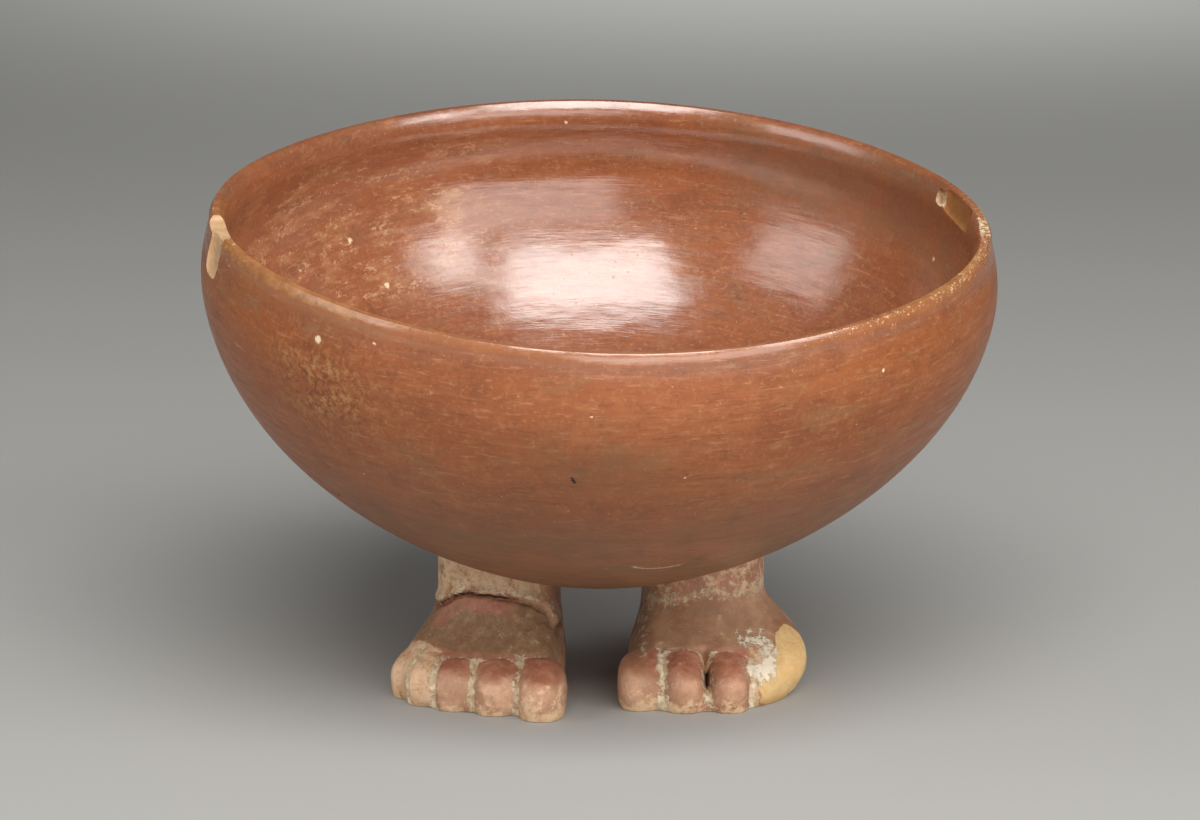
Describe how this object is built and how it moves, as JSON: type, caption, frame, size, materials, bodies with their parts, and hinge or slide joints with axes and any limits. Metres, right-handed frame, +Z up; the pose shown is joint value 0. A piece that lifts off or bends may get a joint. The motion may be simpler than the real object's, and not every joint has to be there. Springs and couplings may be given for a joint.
{
  "type": "footed bowl",
  "caption": "Round hand-built red ware bowl with a thin lip, tipped forward on human feet with short ankles and modelled toes.",
  "frame": {"origin": "on the ground under the middle of the bowl's box in X and Y", "axes": "+Z up, toes towards -Y, the left foot as the viewer sees it towards -X"},
  "size_m": [0.1378, 0.1362, 0.0943],
  "materials": {
    "polished_red_clay": "burnished slip, softly glossy, worn and crusted on the feet"
  },
  "bodies": {
    "root": {"footed_bowl": "polished_red_clay"}
  },
  "joints": []
}
